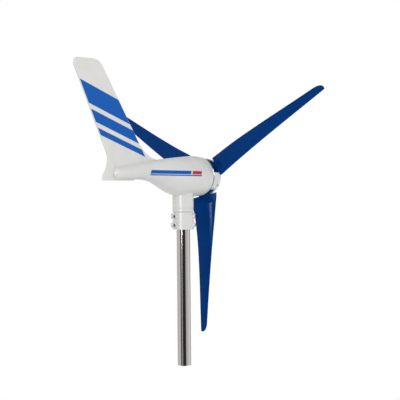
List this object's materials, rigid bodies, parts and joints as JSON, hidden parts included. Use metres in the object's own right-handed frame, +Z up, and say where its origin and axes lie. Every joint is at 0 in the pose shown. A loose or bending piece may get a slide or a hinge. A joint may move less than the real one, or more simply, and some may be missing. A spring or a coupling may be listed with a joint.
{
  "type": "horizontal axis wind turbine",
  "caption": "Small horizontal axis wind turbine: teardrop nacelle with a tail fin, blue twisted blades and a polished mast tube.",
  "frame": {"origin": "centre of the mast tube's lower end, on the yaw axis", "axes": "+Z up the mast along the yaw axis; +X along the rotor axis towards the wind and the spinner; +Y to the left seen from behind"},
  "size_m": [0.6682, 1.0008, 1.0345],
  "materials": {
    "polished_stainless": "polished",
    "white_casting": "gloss",
    "white_laminate": "gloss",
    "blue_laminate": "gloss",
    "machined_aluminium": "polished",
    "white_dome": "gloss",
    "screw_steel": "satin",
    "shaft_steel": "satin",
    "bearing_steel": "polished",
    "core_steel": "matte",
    "copper_winding": "satin",
    "magnet_nickel": "satin",
    "ring_brass": "satin",
    "black_plastic": "satin",
    "brush_carbon": "matte",
    "lead_insulation": "satin",
    "seal_rubber": "matte"
  },
  "bodies": {
    "mast": {"mast_tube": "polished_stainless", "mast_sleeve": "white_casting", "sleeve_screws": "screw_steel", "yaw_spindle": "shaft_steel", "spindle_nut": "screw_steel", "yaw_locknut": "screw_steel", "slip_ring_drum": "black_plastic", "slip_rings": "ring_brass", "drum_leads": "lead_insulation", "lead_connector": "black_plastic", "yaw_lower_inner_ring": "bearing_steel", "yaw_upper_inner_ring": "bearing_steel"},
    "nacelle": {"nacelle_housing": "white_casting", "tail_fin": "white_laminate", "fin_screws": "screw_steel", "yaw_ring": "white_casting", "yaw_ring_screws": "screw_steel", "yaw_seal": "seal_rubber", "yaw_lower_outer_ring": "bearing_steel", "yaw_upper_outer_ring": "bearing_steel", "yaw_lower_caged_balls": "bearing_steel", "yaw_upper_caged_balls": "bearing_steel", "rear_bearing_plate": "machined_aluminium", "rear_plate_screws": "screw_steel", "front_cover": "white_casting", "front_cover_screws": "screw_steel", "cover_seal": "seal_rubber", "shaft_seal": "seal_rubber", "stator_core": "core_steel", "stator_coils": "copper_winding", "stator_leads": "lead_insulation", "front_outer_ring": "bearing_steel", "rear_outer_ring": "bearing_steel", "front_caged_balls": "bearing_steel", "rear_caged_balls": "bearing_steel", "brush_holder": "black_plastic", "holder_screws": "screw_steel", "brushes": "brush_carbon", "brush_springs": "screw_steel"},
    "rotor": {"rotor_shaft": "shaft_steel", "rear_circlip": "screw_steel", "hub_key": "shaft_steel", "rotor_core": "core_steel", "magnets": "magnet_nickel", "front_inner_ring": "bearing_steel", "rear_inner_ring": "bearing_steel", "hub": "machined_aluminium", "clamp_plate": "machined_aluminium", "blade_1": "blue_laminate", "blade_2": "blue_laminate", "blade_3": "blue_laminate", "blade_screws": "screw_steel", "shaft_washer": "screw_steel", "shaft_nut": "screw_steel", "spinner": "white_dome", "spinner_screws": "screw_steel"}
  },
  "joints": [
    {"name": "yaw", "type": "hinge", "parent": "mast", "child": "nacelle", "pos_m": [0, 0, 0.56], "axis": [0, 0, 1], "continuous": true},
    {"name": "rotor_spin", "type": "hinge", "parent": "nacelle", "child": "rotor", "pos_m": [0.12, 0, 0.675], "axis": [1, 0, 0], "continuous": true}
  ]
}
